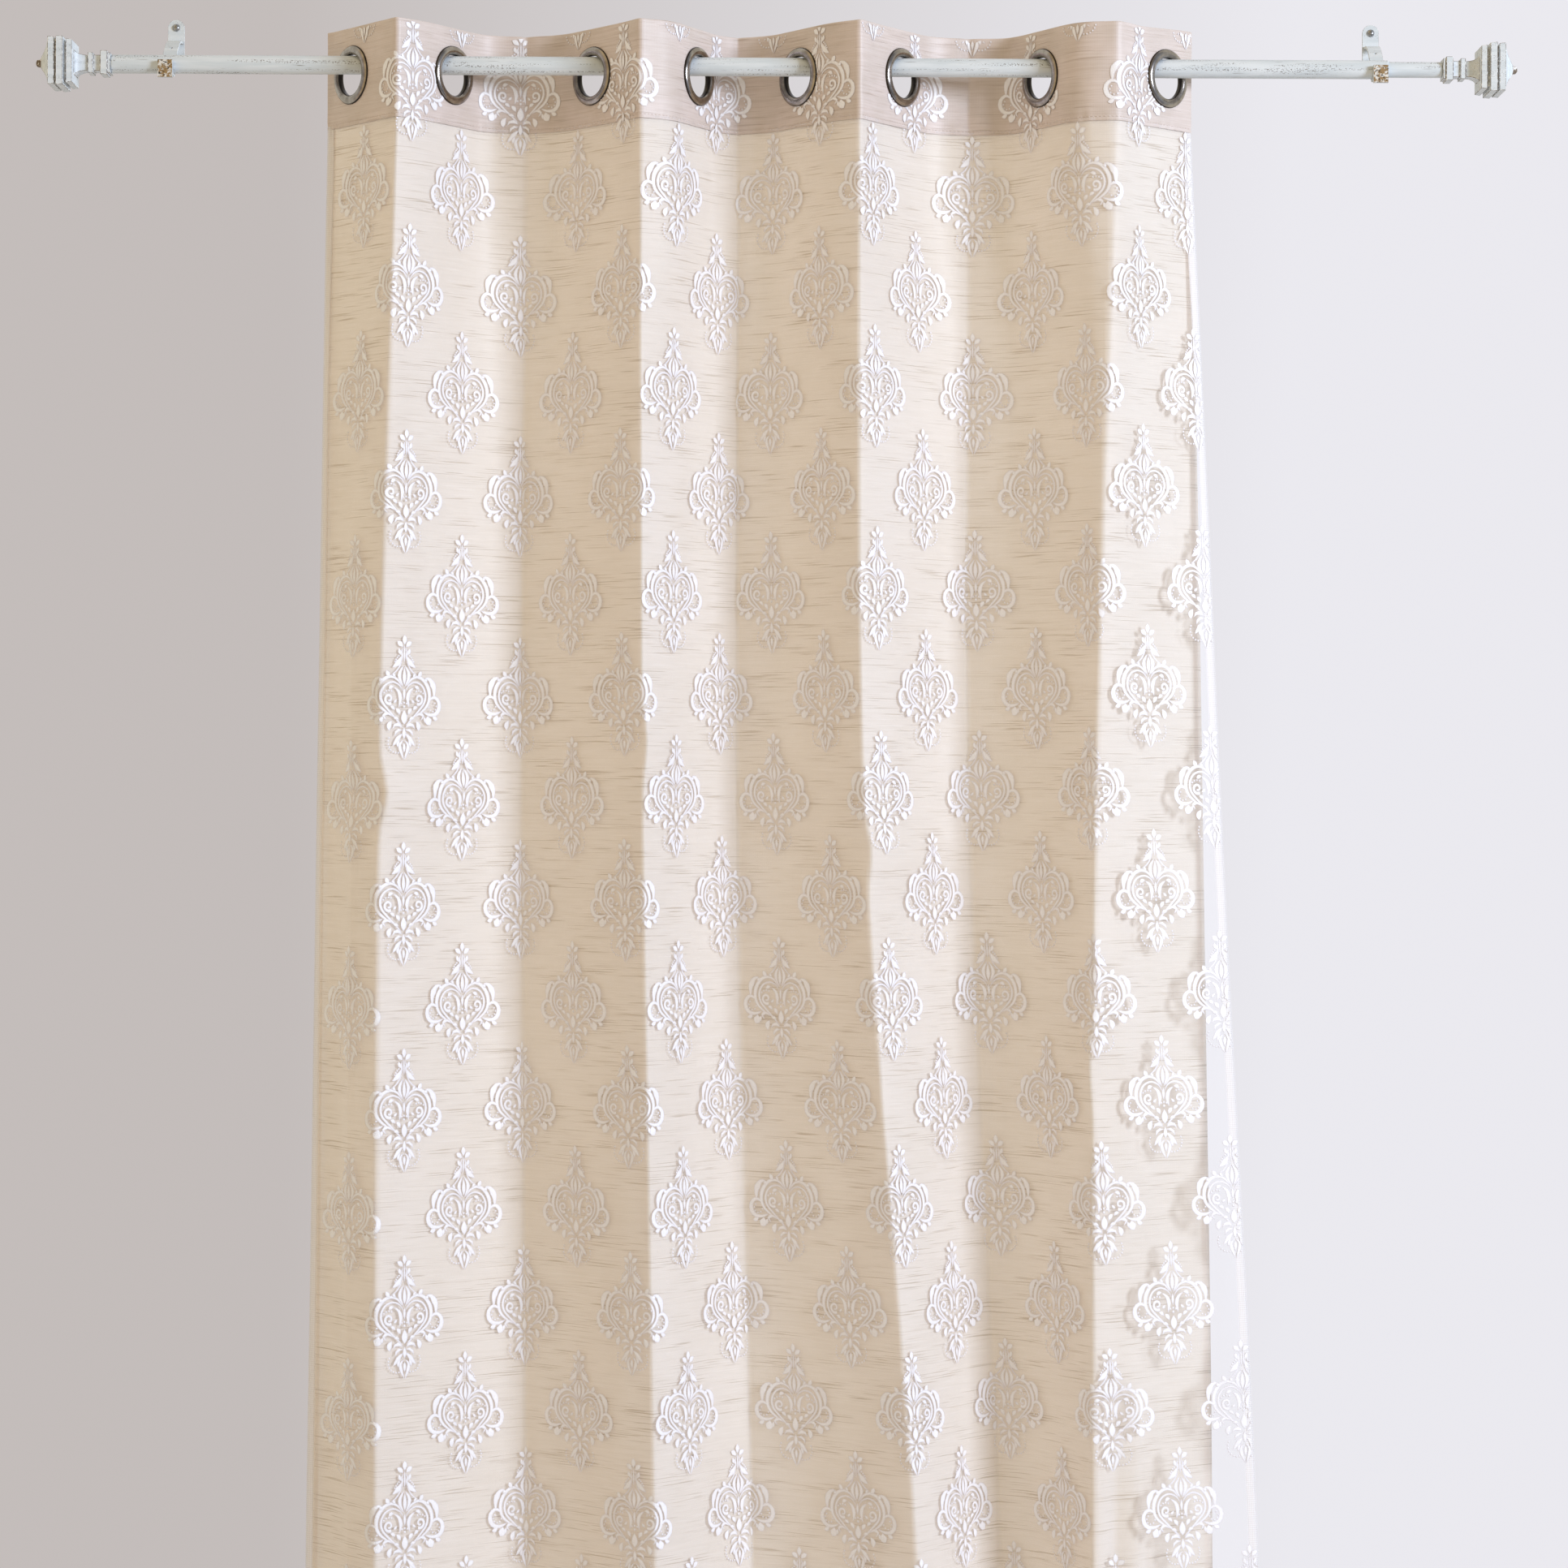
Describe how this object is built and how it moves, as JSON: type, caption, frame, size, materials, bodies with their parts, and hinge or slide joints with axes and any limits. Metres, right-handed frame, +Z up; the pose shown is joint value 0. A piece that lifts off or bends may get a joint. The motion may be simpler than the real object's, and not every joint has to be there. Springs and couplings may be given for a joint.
{
  "type": "lined eyelet curtain with a patterned sheer, on its telescopic curtain rod",
  "caption": "Full-length curtain in soft zigzag folds: a patterned sheer over a plain lining, both sewn to an eyelet heading on a rod with square finials and wall brackets.",
  "frame": {"origin": "centre of the left bracket's wall plate, on its back face, where it meets the wall", "axes": "+X along the rod to the right as seen from the room, +Y into the wall, +Z up; the room is towards -Y"},
  "size_m": [1.5142, 0.1271, 2.1526],
  "materials": {
    "sheer_white": "thin polyester sheer, white, with denser patterned areas",
    "lining_cream": "woven lining with a faint slub, warm cream, soft sheen",
    "heading_cream": "two cloths and a stiffener sewn into one band, warm cream",
    "eyelet_metal": "pressed rim plated dark nickel, satin",
    "rod_paint": "off-white paint, distressed at the edges, with dark specks",
    "screw_metal": "plain zinc-plated screw"
  },
  "bodies": {
    "root": {"sheer": "sheer_white", "lining": "lining_cream", "heading": "heading_cream", "eyelet_1": "eyelet_metal", "eyelet_2": "eyelet_metal", "eyelet_3": "eyelet_metal", "eyelet_4": "eyelet_metal", "eyelet_5": "eyelet_metal", "eyelet_6": "eyelet_metal", "eyelet_7": "eyelet_metal", "eyelet_8": "eyelet_metal", "rod_outer": "rod_paint", "rod_inner": "rod_paint", "finial_left": "rod_paint", "finial_right": "rod_paint", "bracket_left": "rod_paint", "bracket_right": "rod_paint", "screw_left": "screw_metal", "screw_right": "screw_metal"}
  },
  "joints": []
}
